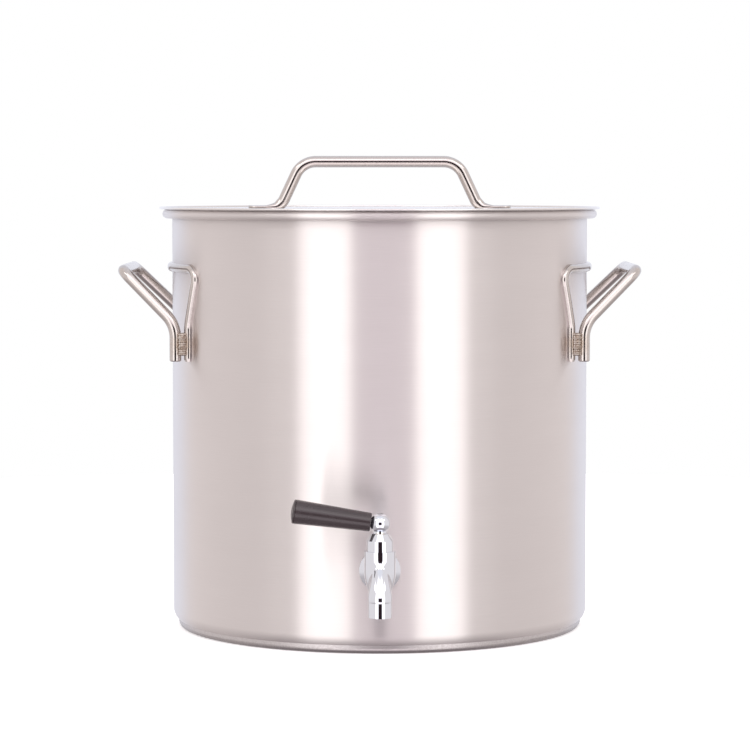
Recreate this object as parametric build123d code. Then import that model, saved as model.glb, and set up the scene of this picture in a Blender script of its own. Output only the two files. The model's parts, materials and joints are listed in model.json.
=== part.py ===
from build123d import *
import math
import os

# Brew kettle: a straight-sided stock pot of about 36 litres with a lift-off lid,
# two welded bow handles and a plug tap. All sizes are in millimetres.
# The origin is the centre of the base on the floor, +Z is up, the tap faces -Y
# and the handles stand out along +X and -X.

# Pot
POT_R = 180.0              # outside radius of the wall
SHEET = 1.0                # wall and floor thickness
RIM_TOP = 362.2            # height of the rolled rim
KNUCKLE_R = 10.0           # outside radius between wall and floor
RIM_ROLL_R = 3.3           # centre-line radius of the rolled rim
RIM_FLAT = 1.8             # flat on top of the rim, where the lid rests
RIM_RETURN = 2.4           # sheet that runs back under the rim

# Clad base
BASE_H = 5.5               # height of the pot floor above the ground
CAP_R = 175.5
CAP_EDGE_R = 4.5
CAP_SHEET = 0.7

# Lid
LID_SHEET = 0.8
LID_EDGE_R = 190.1         # radius to the centre of the hem
LID_HEM_R = 1.0
GROOVE_START_R = 169.8     # inner edge of the locating groove
GROOVE_BEND_R = 2.0
GROOVE_SLOPE = 75.0        # degrees
GROOVE_SIDE = 2.5          # straight length of each side of the groove
EDGE_LIFT = 20.0           # degrees that the lid's edge turns up

# Lid handle
ROD_R = 5.0
HANDLE_TOP_Z = 403.5       # centre line of the bar
HANDLE_BEND_X = 67.6
HANDLE_KNEE = (84.3, 367.8)    # x and z where the leg starts to flare
HANDLE_END = (99.5, 355.0)     # x and z where the flare would end below the lid
HANDLE_BEND_R = 19.0
HANDLE_KNEE_R = 24.0
FOOT_REACH = 114.0
FOOT_LENGTH = 36.0
FOOT_WIDTH = 12.0
FOOT_H = 2.6

# Side handles
LEG_BOTTOM_Z = 234.4
GRIP_LEG = (172.8, 79.0)       # x and y of the grip bow's upright legs
GRIP_KNEE_Z = 265.6
GRIP_CORNER = (218.2, 62.0, 310.6)
GRIP_KNEE_R = 26.0
GRIP_CORNER_R = 13.0
MOUNT_LEG_Y = 80.3
MOUNT_KNEE_Z = 265.0
MOUNT_TOP_Y = 95.5
MOUNT_TOP_Z = 312.8
MOUNT_KNEE_R = 25.0
MOUNT_CORNER_R = 9.0
MOUNT_WIDTH = 8.0
MOUNT_H = 4.2                  # how far the mount bow stands out of the wall
MOUNT_EDGE_R = 2.6
WELD_R = 4.1
WELD_CENTRE = (166.6, 83.6)
WELD_Z = (244.0, 254.4)

# Tap: heights and the line of its turning axis
TAP_Y = -218.0
FLOW_Z = 70.0
BARREL_R = 12.6
BARREL_TOP_Z = 90.5
BARREL_TAPER_Z = 74.0
BARREL_BOTTOM_Z = 56.0
BARREL_BOTTOM_R = 9.0
SHANK_R = 8.3
SHANK_END_Y = -157.0
NECK_R = 9.6
SPOUT_FILLET = 12.0            # blends the spout into the barrel
NECK_FILLET = 4.0
WALL_HOLE_R = 8.5
FLOW_BORE_R = 4.2

# Tap: spout
SPOUT_Y = -236.5
SPOUT_NECK_R = 7.0
SPOUT_R = 9.7
OUTLET_R = 9.4
OUTLET_Z = 39.5
OUTLET_STRAIGHT = 12.0
OUTLET_BORE_R = 6.5
SPOUT_BORE_BEND_R = 17.0
SPOUT_STATIONS = [              # y, z, forward, down, radius along the spout
    (TAP_Y, 84.0, 0.65, 0.76, SPOUT_NECK_R - 0.3),
    (TAP_Y - 9.0, 73.5, 0.65, 0.76, SPOUT_NECK_R),
    (SPOUT_Y + 2.5, 61.5, 0.45, 0.89, SPOUT_R - 0.9),
    (SPOUT_Y, 55.0, 0, 1, SPOUT_R - 0.15),
]

# Tap: plug, stem and bonnet
SEAT_TOP_Z = 80.0
SEAT_TOP_R = 8.3
SEAT_BOTTOM_Z = 58.5
SEAT_BOTTOM_R = 7.0
FIT = 0.05                 # radial play of the running fits
STEM_R = 3.5
STEM_TOP_Z = 113.5
CHAMBER_R = 9.6
NUT_R = 10.6
NUT_SHOULDER_Z = 99.0
NUT_TOP_Z = 104.7
NUT_TOP_R = 6.9
NUT_SKIRT_Z = 85.5
SEAL_R = 0.9
SEAL_Z = 96.0
SPRING_COIL_R = 6.6
SPRING_WIRE_R = 0.5
SPRING_TURNS = 3
SPRING_WASHER_R = 8.2
WASHER_H = 0.8
PLUG_LIFT = 0.3            # gap under the plug and below the seat's mouth

# Tap: lever
BALL_R = 8.15
BALL_Z = 112.7
BALL_NECK_R = 5.6
BALL_FACE = 7.3            # distance of the flat that the grip butts against
LEVER_RISE = 8.0           # degrees above level
GRIP_START = 7.4
GRIP_LENGTH = 64.6
GRIP_NEAR_R = 7.5
GRIP_FAR_R = 9.85
GRIP_EDGE_R = 1.6
STUD_R = 2.5
STUD_START = 4.2
STUD_END = 46.0
SCREW_HEAD_R = 2.6
SCREW_R = 1.5
SCREW_TOP_Z = 120.5

# Tap: what clamps it to the wall
FLANGE_R = 16.9
FLANGE_H = 6.0
FLANGE_RIM = 1.2
FLANGE_TOP_R = 9.9
GASKET_R = 14.0
GASKET_OUT_Y = -181.4
GASKET_IN_Y = -176.8
INNER_WASHER_H = 1.5
BACK_NUT_H = 7.0
BACK_NUT_FLATS = 24.0

parts = {}


def sheet_section(start, heading, steps, thickness):
    """Closed section of a bent sheet, from its centre line.

    Each step is (length, 0) for a straight run or (radius, turn) for a bend,
    with the turn in degrees and positive to the left.
    """
    x, y = start
    half = thickness / 2
    edges = []

    def side(offset):
        a = math.radians(heading + 90)
        return (x + offset * math.cos(a), y + offset * math.sin(a))

    edges.append(Line(side(half), side(-half)))
    for size, turn in steps:
        if turn == 0:
            left, right = side(half), side(-half)
            x += size * math.cos(math.radians(heading))
            y += size * math.sin(math.radians(heading))
            edges.append(Line(left, side(half)))
            edges.append(Line(right, side(-half)))
            continue
        sign = math.copysign(1, turn)
        centre = side(sign * size)
        first = heading - 90 * sign
        for offset in (half, -half):
            edges.append(CenterArc(centre, size - sign * offset, first, turn))
        heading += turn
        last = math.radians(heading - 90 * sign)
        x = centre[0] + size * math.cos(last)
        y = centre[1] + size * math.sin(last)
    edges.append(Line(side(half), side(-half)))
    return make_face(edges)


def turned(section):
    """Solid of revolution about Z from a section drawn as (radius, height)."""
    return revolve(Plane.XZ * section, Axis.Z)


def disc(radius, low, high):
    """Upright cylinder between two heights."""
    return Pos(0, 0, (low + high) / 2) * Cylinder(radius, high - low)


def rod_along_y(radius, near, far, x=0, z=0):
    """Cylinder along Y between two places."""
    turn = Rot(90, 0, 0) * Cylinder(radius, abs(far - near))
    return Pos(x, (near + far) / 2, z) * turn


def bar(path, radius):
    """Round bar along a path."""
    section = Plane(origin=path @ 0, z_dir=path % 0) * Circle(radius)
    return sweep(section, path=path)


# Pot -----------------------------------------------------------------------

def pot_envelope():
    """Solid outside shape of the pot below its rim."""
    floor_r = POT_R - KNUCKLE_R
    outline = make_face([
        Line((0, BASE_H), (floor_r, BASE_H)),
        CenterArc((floor_r, BASE_H + KNUCKLE_R), KNUCKLE_R, -90, 90),
        Line((POT_R, BASE_H + KNUCKLE_R), (POT_R, RIM_TOP)),
        Line((POT_R, RIM_TOP), (0, RIM_TOP)),
        Line((0, RIM_TOP), (0, BASE_H)),
    ])
    return turned(outline)


def pot_body():
    half = SHEET / 2
    rim_start = RIM_TOP - half - RIM_ROLL_R
    section = sheet_section(
        (0, BASE_H + half), 0,
        [
            (POT_R - KNUCKLE_R, 0),
            (KNUCKLE_R - half, 90),
            (rim_start - BASE_H - KNUCKLE_R, 0),
            (RIM_ROLL_R, -90),
            (RIM_FLAT, 0),
            (RIM_ROLL_R, -180),
            (RIM_RETURN, 0),
        ],
        SHEET,
    )
    hole = rod_along_y(WALL_HOLE_R, -POT_R - 10, -POT_R + 10, z=FLOW_Z)
    return turned(section) - hole


def base_layer(outer_r, edge_r, low):
    """Rounded slab under the pot floor that reaches up to the knuckle."""
    top = BASE_H + KNUCKLE_R / 2
    flat_r = outer_r - edge_r
    outline = make_face([
        Line((0, low), (flat_r, low)),
        CenterArc((flat_r, low + edge_r), edge_r, -90, 90),
        Line((outer_r, low + edge_r), (outer_r, top)),
        Line((outer_r, top), (0, top)),
        Line((0, top), (0, low)),
    ])
    return turned(outline) - pot_envelope()


def base_core():
    return base_layer(CAP_R - CAP_SHEET, CAP_EDGE_R - CAP_SHEET, CAP_SHEET)


def base_cap():
    return base_layer(CAP_R, CAP_EDGE_R, 0) - base_core()


# Lid -----------------------------------------------------------------------

def lid_pan():
    half = LID_SHEET / 2
    bend = GROOVE_BEND_R
    slope = GROOVE_SLOPE
    lift_r = 4.0
    groove_w = (4 * bend * math.sin(math.radians(slope))
                + 2 * GROOVE_SIDE * math.cos(math.radians(slope)))
    rise = 2.0
    lift_w = (lift_r * math.sin(math.radians(EDGE_LIFT))
              + rise * math.cos(math.radians(EDGE_LIFT)))
    flange = LID_EDGE_R - lift_w - GROOVE_START_R - groove_w
    section = sheet_section(
        (0, RIM_TOP + half), 0,
        [
            (GROOVE_START_R, 0),
            (bend, -slope),
            (GROOVE_SIDE, 0),
            (bend, 2 * slope),
            (GROOVE_SIDE, 0),
            (bend, -slope),
            (flange, 0),
            (lift_r, EDGE_LIFT),
            (rise, 0),
        ],
        LID_SHEET,
    )
    lift = (lift_r * (1 - math.cos(math.radians(EDGE_LIFT)))
            + rise * math.sin(math.radians(EDGE_LIFT)))
    hem = Pos(LID_EDGE_R, RIM_TOP + half + lift) * Circle(LID_HEM_R)
    return turned(section + hem)


def lid_handle():
    lid_top = RIM_TOP + LID_SHEET
    half_path = [
        (HANDLE_BEND_X, 0, HANDLE_TOP_Z),
        (HANDLE_KNEE[0], 0, HANDLE_KNEE[1]),
        (HANDLE_END[0], 0, HANDLE_END[1]),
    ]
    points = [(-x, y, z) for x, y, z in reversed(half_path)] + half_path
    radii = [HANDLE_KNEE_R, HANDLE_BEND_R, HANDLE_BEND_R, HANDLE_KNEE_R]
    handle = bar(FilletPolyline(*points, radius=radii), ROD_R)
    foot = extrude(SlotOverall(FOOT_LENGTH, FOOT_WIDTH), FOOT_H)
    for sign in (-1, 1):
        handle += Pos(sign * (FOOT_REACH - FOOT_LENGTH / 2), 0, lid_top) * foot
    return handle - disc(2 * FOOT_REACH, lid_top - 40, lid_top)


# Side handles, drawn for the +X side ---------------------------------------

def grip_bow():
    leg_x, leg_y = GRIP_LEG
    far_x, far_y, far_z = GRIP_CORNER
    one_side = [
        (leg_x, leg_y, LEG_BOTTOM_Z),
        (leg_x, leg_y, GRIP_KNEE_Z),
        (far_x, far_y, far_z),
    ]
    points = [(x, -y, z) for x, y, z in one_side] + one_side[::-1]
    radii = [GRIP_KNEE_R, GRIP_CORNER_R, GRIP_CORNER_R, GRIP_KNEE_R]
    return bar(FilletPolyline(*points, radius=radii), ROD_R)


def mount_bow():
    one_side = [
        (POT_R, MOUNT_LEG_Y, LEG_BOTTOM_Z),
        (POT_R, MOUNT_LEG_Y, MOUNT_KNEE_Z),
        (POT_R, MOUNT_TOP_Y, MOUNT_TOP_Z),
    ]
    points = [(x, -y, z) for x, y, z in one_side] + one_side[::-1]
    radii = [MOUNT_KNEE_R, MOUNT_CORNER_R, MOUNT_CORNER_R, MOUNT_KNEE_R]
    path = FilletPolyline(*points, radius=radii)
    deep = 60.0
    start = Plane(origin=path @ 0, x_dir=(1, 0, 0), z_dir=path % 0)
    band = sweep(start * Rectangle(deep, MOUNT_WIDTH), path=path)
    skin_r = POT_R + MOUNT_H
    skin = disc(skin_r, 200, 340) - disc(POT_R, 200, 340)
    bow = band & skin
    outer = [edge for edge in bow.edges()
             if all(abs(math.hypot((edge @ t).X, (edge @ t).Y) - skin_r) < 0.01
                    for t in (0, 0.5, 1))]
    return fillet(outer, MOUNT_EDGE_R)


def handle_welds():
    low, high = WELD_Z
    x, y = WELD_CENTRE
    bead = disc(WELD_R, low, high)
    bead += Pos(0, 0, low) * Sphere(WELD_R)
    bead += Pos(0, 0, high) * Sphere(WELD_R)
    beads = Pos(x, -y, 0) * bead + Pos(x, y, 0) * bead
    return beads - grip_bow() - mount_bow()


# Tap -----------------------------------------------------------------------

def on_tap(shape):
    """Move a piece drawn about Z onto the tap's turning axis."""
    return Pos(0, TAP_Y, 0) * shape


def taper(low, low_r, high, high_r):
    """Upright cone between two heights."""
    return turned(make_face(Polyline(
        (0, low), (low_r, low), (high_r, high), (0, high), close=True)))


def channel(sections, end_r):
    """Round loft through (y, z, forward, down, radius) stations, then a straight mouth."""
    straight_z = OUTLET_Z + OUTLET_STRAIGHT
    circles = [Plane(origin=(0, y, z), z_dir=(0, -forward, -down)) * Circle(r)
               for y, z, forward, down, r in sections]
    circles.append(Plane(origin=(0, SPOUT_Y, straight_z), z_dir=(0, 0, -1)) * Circle(end_r))
    return loft(circles) + Pos(0, SPOUT_Y, 0) * disc(end_r, OUTLET_Z, straight_z)


def spout_outside():
    return channel(SPOUT_STATIONS, OUTLET_R)


def spout_bore():
    bend = SPOUT_BORE_BEND_R
    turn = math.radians(45)
    return channel([
        (TAP_Y - 0.2, FLOW_Z, 1, 0, FLOW_BORE_R),
        (SPOUT_Y + bend, FLOW_Z, 1, 0, FLOW_BORE_R),
        (SPOUT_Y + bend * (1 - math.sin(turn)), FLOW_Z - bend * (1 - math.cos(turn)), 1, 1,
         FLOW_BORE_R + 0.4),
        (SPOUT_Y, OUTLET_Z + OUTLET_STRAIGHT + 0.6, 0, 1, OUTLET_BORE_R - 0.2),
    ], OUTLET_BORE_R)


def barrel():
    edge = 1.0
    outline = make_face([
        Line((0, BARREL_BOTTOM_Z), (BARREL_BOTTOM_R - edge, BARREL_BOTTOM_Z)),
        Line((BARREL_BOTTOM_R - edge, BARREL_BOTTOM_Z),
             (BARREL_BOTTOM_R, BARREL_BOTTOM_Z + edge)),
        Spline((BARREL_BOTTOM_R, BARREL_BOTTOM_Z + edge), (BARREL_R, BARREL_TAPER_Z),
               tangents=[(0.35, 1), (0, 1)]),
        Line((BARREL_R, BARREL_TAPER_Z), (BARREL_R, BARREL_TOP_Z)),
        Line((BARREL_R, BARREL_TOP_Z), (0, BARREL_TOP_Z)),
        Line((0, BARREL_TOP_Z), (0, BARREL_BOTTOM_Z)),
    ])
    return on_tap(turned(outline))


def joins_barrel(edge):
    """True for an edge where the spout or the neck runs into the barrel."""
    points = [edge @ t for t in (0.1, 0.5, 0.9)]
    return edge.geom_type != GeomType.LINE and all(
        BARREL_BOTTOM_Z + 2 < p.Z < BARREL_TOP_Z - 2
        and 5 < math.hypot(p.X, p.Y - TAP_Y) < BARREL_R + 0.05 for p in points)


def tap_body():
    flange_face = GASKET_OUT_Y - FLANGE_H
    body = barrel()
    body += spout_outside()
    body += rod_along_y(NECK_R, TAP_Y, flange_face, z=FLOW_Z)
    spout_side = body.edges().filter_by(lambda e: joins_barrel(e) and (e @ 0.5).Y < TAP_Y)
    body = fillet(spout_side, SPOUT_FILLET)
    neck_side = body.edges().filter_by(lambda e: joins_barrel(e) and (e @ 0.5).Y > TAP_Y)
    body = fillet(neck_side, NECK_FILLET)
    body += rod_along_y(SHANK_R, flange_face, SHANK_END_Y, z=FLOW_Z)
    body -= spout_bore()
    body -= rod_along_y(FLOW_BORE_R, TAP_Y, SHANK_END_Y, z=FLOW_Z)
    body -= on_tap(taper(SEAT_BOTTOM_Z, SEAT_BOTTOM_R, SEAT_TOP_Z, SEAT_TOP_R))
    body -= on_tap(disc(CHAMBER_R, SEAT_TOP_Z, BARREL_TOP_Z))
    return body


def tap_plug():
    low = SEAT_BOTTOM_Z + PLUG_LIFT
    high = SEAT_TOP_Z - PLUG_LIFT
    cone = taper(low, SEAT_BOTTOM_R - FIT, high, SEAT_TOP_R - FIT)
    stem = disc(STEM_R, high, STEM_TOP_Z)
    waterway = Rot(0, 90, 0) * Cylinder(FLOW_BORE_R, 4 * SEAT_TOP_R)
    screw_hole = disc(SCREW_R, STEM_TOP_Z - 8, STEM_TOP_Z)
    return on_tap(cone + stem - Pos(0, 0, FLOW_Z) * waterway - screw_hole)


def spring_washer():
    low = SEAT_TOP_Z - PLUG_LIFT
    high = low + WASHER_H
    return on_tap(disc(SPRING_WASHER_R, low, high) - disc(STEM_R + FIT, low, high))


def plug_spring():
    low = SEAT_TOP_Z - PLUG_LIFT + WASHER_H + SPRING_WIRE_R + FIT
    high = NUT_SKIRT_Z - SPRING_WIRE_R - FIT
    coil = Helix((high - low) / SPRING_TURNS, high - low, SPRING_COIL_R)
    wire = Plane(origin=coil @ 0, z_dir=coil % 0) * Circle(SPRING_WIRE_R)
    return on_tap(Pos(0, 0, low) * sweep(wire, path=coil, is_frenet=True))


def bonnet_nut():
    outline = make_face(Polyline(
        (0, NUT_SKIRT_Z), (CHAMBER_R - FIT, NUT_SKIRT_Z), (CHAMBER_R - FIT, BARREL_TOP_Z),
        (NUT_R, BARREL_TOP_Z), (NUT_R, NUT_SHOULDER_Z), (NUT_TOP_R, NUT_TOP_Z),
        (0, NUT_TOP_Z), close=True))
    nut = turned(outline) - disc(STEM_R + FIT, NUT_SKIRT_Z - 1, NUT_TOP_Z + 1)
    groove = disc(STEM_R + 2 * SEAL_R, SEAL_Z - SEAL_R, SEAL_Z + SEAL_R)
    return on_tap(nut - groove)


def stem_seal():
    ring = Torus(STEM_R + SEAL_R + 0.02, SEAL_R - 0.02)
    return on_tap(Pos(0, 0, SEAL_Z) * ring)


def lever_frame():
    """Plane at the ball's centre whose Z runs out along the lever."""
    rise = math.radians(LEVER_RISE)
    return Plane(origin=(0, TAP_Y, BALL_Z), x_dir=(0, 1, 0),
                 z_dir=(-math.cos(rise), 0, math.sin(rise)))


def lever_ball():
    neck_low = NUT_TOP_Z + 0.3
    ball = Pos(0, 0, BALL_Z) * Sphere(BALL_R) + disc(BALL_NECK_R, neck_low, BALL_Z)
    ball -= disc(BALL_R, SCREW_TOP_Z, SCREW_TOP_Z + 5)
    ball -= disc(STEM_R, neck_low - 1, STEM_TOP_Z)
    ball -= disc(SCREW_R, STEM_TOP_Z, SCREW_TOP_Z)
    ball -= disc(SCREW_HEAD_R, SCREW_TOP_Z - 2.0, SCREW_TOP_Z)
    ball = on_tap(ball)
    ball -= lever_frame() * Pos(0, 0, BALL_FACE + 5) * Cylinder(BALL_R, 10)
    return ball - lever_stud()


def hub_screw():
    screw = disc(SCREW_R, STEM_TOP_Z - 7, SCREW_TOP_Z - 2.0)
    screw += disc(SCREW_HEAD_R - 0.1, SCREW_TOP_Z - 2.0, SCREW_TOP_Z - 0.3)
    slot = Pos(0, 0, SCREW_TOP_Z - 0.6) * Box(2 * SCREW_HEAD_R, 0.8, 1.0)
    return on_tap(screw - slot)


def lever_stud():
    return lever_frame() * disc(STUD_R, STUD_START, STUD_END)


def lever_grip():
    end = GRIP_START + GRIP_LENGTH
    dome = 1.4
    face_r = GRIP_FAR_R - GRIP_EDGE_R
    dome_r = (face_r ** 2 + dome ** 2) / (2 * dome)
    spread = math.degrees(math.asin(face_r / dome_r))
    outline = make_face([
        Line((STUD_R, GRIP_START), (GRIP_NEAR_R - 0.5, GRIP_START)),
        Line((GRIP_NEAR_R - 0.5, GRIP_START), (GRIP_NEAR_R, GRIP_START + 0.5)),
        Line((GRIP_NEAR_R, GRIP_START + 0.5), (GRIP_FAR_R, end - dome - GRIP_EDGE_R)),
        CenterArc((face_r, end - dome - GRIP_EDGE_R), GRIP_EDGE_R, 0, 90),
        CenterArc((0, end - dome_r), dome_r, 90 - spread, spread),
        Line((0, end), (0, STUD_END)),
        Line((0, STUD_END), (STUD_R, STUD_END)),
        Line((STUD_R, STUD_END), (STUD_R, GRIP_START)),
    ])
    return lever_frame() * turned(outline)


def wall_flange():
    base = GASKET_OUT_Y
    face = base - FLANGE_H
    dome_r = 16.0
    outline = make_face([
        Line((WALL_HOLE_R, 0), (FLANGE_R, 0)),
        Line((FLANGE_R, 0), (FLANGE_R, FLANGE_RIM)),
        RadiusArc((FLANGE_R, FLANGE_RIM), (FLANGE_TOP_R, base - face), -dome_r),
        Line((FLANGE_TOP_R, base - face), (WALL_HOLE_R, base - face)),
        Line((WALL_HOLE_R, base - face), (WALL_HOLE_R, 0)),
    ])
    seat = Plane(origin=(0, base, FLOW_Z), x_dir=(1, 0, 0), z_dir=(0, -1, 0))
    return seat * turned(outline)


def outer_gasket():
    ring = rod_along_y(GASKET_R, GASKET_OUT_Y, -POT_R + 12, z=FLOW_Z)
    ring -= disc(POT_R, 0, 2 * FLOW_Z)
    return ring - rod_along_y(SHANK_R + 0.05, GASKET_OUT_Y - 1, -POT_R + 12, z=FLOW_Z)


def inner_gasket():
    ring = rod_along_y(GASKET_R - 1, -POT_R - 5, GASKET_IN_Y, z=FLOW_Z)
    ring &= disc(POT_R - SHEET, 0, 2 * FLOW_Z)
    return ring - rod_along_y(SHANK_R + 0.05, -POT_R - 6, GASKET_IN_Y + 1, z=FLOW_Z)


def inner_washer():
    far = GASKET_IN_Y + INNER_WASHER_H
    ring = rod_along_y(GASKET_R, GASKET_IN_Y, far, z=FLOW_Z)
    return ring - rod_along_y(WALL_HOLE_R, GASKET_IN_Y - 1, far + 1, z=FLOW_Z)


def back_nut():
    near = GASKET_IN_Y + INNER_WASHER_H
    seat = Plane(origin=(0, near, FLOW_Z), x_dir=(1, 0, 0), z_dir=(0, 1, 0))
    corner_r = BACK_NUT_FLATS / math.sqrt(3)
    blank = extrude(RegularPolygon(corner_r, 6), BACK_NUT_H)
    cut = 0.8
    crown = turned(make_face(Polyline(
        (0, 0), (corner_r - cut, 0), (corner_r + 0.2, 1.0), (corner_r + 0.2, BACK_NUT_H - 1.0),
        (corner_r - cut, BACK_NUT_H), (0, BACK_NUT_H), close=True)))
    nut = (blank & crown) - disc(SHANK_R + 0.02, -1, BACK_NUT_H + 1)
    return seat * nut


# Every sub-part in its own node --------------------------------------------

def other_side(shape):
    return mirror(shape, about=Plane.YZ)


parts["pot_body"] = pot_body()
parts["base_core"] = base_core()
parts["base_cap"] = base_cap()
parts["lid_pan"] = lid_pan()
parts["lid_handle"] = lid_handle()
for make in (grip_bow, mount_bow, handle_welds):
    right = make()
    parts["right_" + make.__name__] = right
    parts["left_" + make.__name__] = other_side(right)
for make in (tap_body, tap_plug, spring_washer, plug_spring, bonnet_nut, stem_seal,
             lever_ball, hub_screw, lever_stud, lever_grip, wall_flange,
             outer_gasket, inner_gasket, inner_washer, back_nut):
    parts[make.__name__] = make()

os.makedirs("parts", exist_ok=True)
for name, shape in parts.items():
    export_step(shape, f"parts/{name}.step")
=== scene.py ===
import json
import math

import bmesh
import bpy
from mathutils import Matrix, Vector

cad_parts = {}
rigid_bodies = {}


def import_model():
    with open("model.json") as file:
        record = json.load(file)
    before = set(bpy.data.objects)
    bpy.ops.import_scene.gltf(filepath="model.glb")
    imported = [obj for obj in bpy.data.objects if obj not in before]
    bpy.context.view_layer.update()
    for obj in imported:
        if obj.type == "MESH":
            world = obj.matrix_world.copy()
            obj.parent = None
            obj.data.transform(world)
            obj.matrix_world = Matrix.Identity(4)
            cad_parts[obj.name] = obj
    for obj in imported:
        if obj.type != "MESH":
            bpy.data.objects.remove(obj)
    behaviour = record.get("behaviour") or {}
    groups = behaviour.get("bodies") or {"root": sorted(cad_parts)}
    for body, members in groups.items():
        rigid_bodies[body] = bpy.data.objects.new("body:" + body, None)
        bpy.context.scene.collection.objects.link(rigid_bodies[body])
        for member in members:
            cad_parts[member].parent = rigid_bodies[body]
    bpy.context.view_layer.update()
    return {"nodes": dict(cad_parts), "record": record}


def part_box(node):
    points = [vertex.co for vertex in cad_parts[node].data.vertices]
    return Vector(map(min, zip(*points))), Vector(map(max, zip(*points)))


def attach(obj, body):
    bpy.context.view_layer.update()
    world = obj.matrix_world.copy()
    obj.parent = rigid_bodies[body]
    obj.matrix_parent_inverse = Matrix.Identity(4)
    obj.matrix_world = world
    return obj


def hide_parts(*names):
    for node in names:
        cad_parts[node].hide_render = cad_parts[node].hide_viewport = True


# Brew kettle: looks of the pot, lid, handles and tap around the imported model.
# Lengths are in metres. +Z is up, the tap faces -Y, the handles stand out along X.

for leftover in list(bpy.data.objects):
    bpy.data.objects.remove(leftover, do_unlink=True)
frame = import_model()

MM = 0.001

# Pot and base
POT_R = 0.180
SHEET = 1.0 * MM
RIM_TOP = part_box("pot_body")[1].z
FLOOR_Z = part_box("pot_body")[0].z
KNUCKLE_R = 10 * MM
WALL_ROWS = 24
POT_STEPS_AROUND = 288
RIM_ROLL_R = 3.3 * MM
RIM_FLAT = 1.8 * MM
RIM_RETURN = 2.4 * MM
WALL_HOLE_R = 8.5 * MM

# Lid
LID_SHEET = 0.8 * MM
LID_HEM_R = 1.0 * MM
LID_HEM_HALF_TURN = 155.0
LID_HEM_COVER = 0.9 * LID_HEM_R
LID_EDGE_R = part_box("lid_pan")[1].x - LID_HEM_R
GROOVE_START_R = 169.8 * MM
GROOVE_BEND_R = 2.0 * MM
GROOVE_SLOPE = 75.0
GROOVE_SIDE = 2.5 * MM
EDGE_LIFT = 20.0
EDGE_BEND_R = 4.0 * MM
EDGE_RISE = 2.0 * MM
LID_TOP = RIM_TOP + LID_SHEET

# Lid handle
ROD_R = 5.0 * MM
HANDLE_TOP_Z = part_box("lid_handle")[1].z - ROD_R
HANDLE_BEND = (67.6 * MM, HANDLE_TOP_Z)
HANDLE_KNEE = (84.3 * MM, 367.8 * MM)
HANDLE_BENDS = [19 * MM, 13 * MM, 7 * MM]
FOOT_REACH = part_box("lid_handle")[1].x
FOOT_RUN_IN = 5.2 * MM
FOOT_START = 85 * MM
FOOT_FORGED = 16 * MM
FOOT_HALF_WIDTH = 6.4 * MM
FOOT_HALF_HEIGHT = 1.3 * MM
FOOT_TIP = 6 * MM

# Side handles
LEG_BOTTOM_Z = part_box("right_grip_bow")[0].z
GRIP_LEG = (172.8 * MM, 79.0 * MM)
GRIP_KNEE_Z = 265.6 * MM
GRIP_CORNER = (218.2 * MM, 62.0 * MM, 310.6 * MM)
GRIP_BENDS = [26 * MM, 13 * MM, 13 * MM, 26 * MM]
WELD_CENTRE = (166.6 * MM, 83.6 * MM)
WELD_Z = (244.0 * MM, 254.4 * MM)
WELD_R = 4.1 * MM
MOUNT_LEG_Y = 80.3 * MM
MOUNT_KNEE_Z = 265.0 * MM
MOUNT_TOP = (95.5 * MM, 312.8 * MM)
MOUNT_WIDTH = 8.0 * MM
MOUNT_H = 4.2 * MM
MOUNT_BENDS = [25 * MM, 9 * MM, 9 * MM, 25 * MM]
MOUNT_SINK = 0.2 * MM
MOUNT_END = 0.88

# Tap
TAP_Y = -0.218
FLOW_Z = 0.070
BALL_CENTRE = Vector((0, TAP_Y, 0.1127))
LEVER_RISE = 8.0
GRIP_START = 7.4 * MM
GRIP_LENGTH = 64.6 * MM
GRIP_NEAR_R = 7.5 * MM
GRIP_FAR_R = 9.85 * MM
GRIP_NEAR_EDGE = 0.5 * MM
GRIP_FAR_EDGE = 1.6 * MM
GRIP_DOME = 1.4 * MM
GRIP_RING_R = GRIP_FAR_R - 0.05 * MM
GRIP_RING_DEPTH = 0.35 * MM
GRIP_RING_FROM_END = 3.2 * MM


# Node trees ------------------------------------------------------------------

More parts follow.
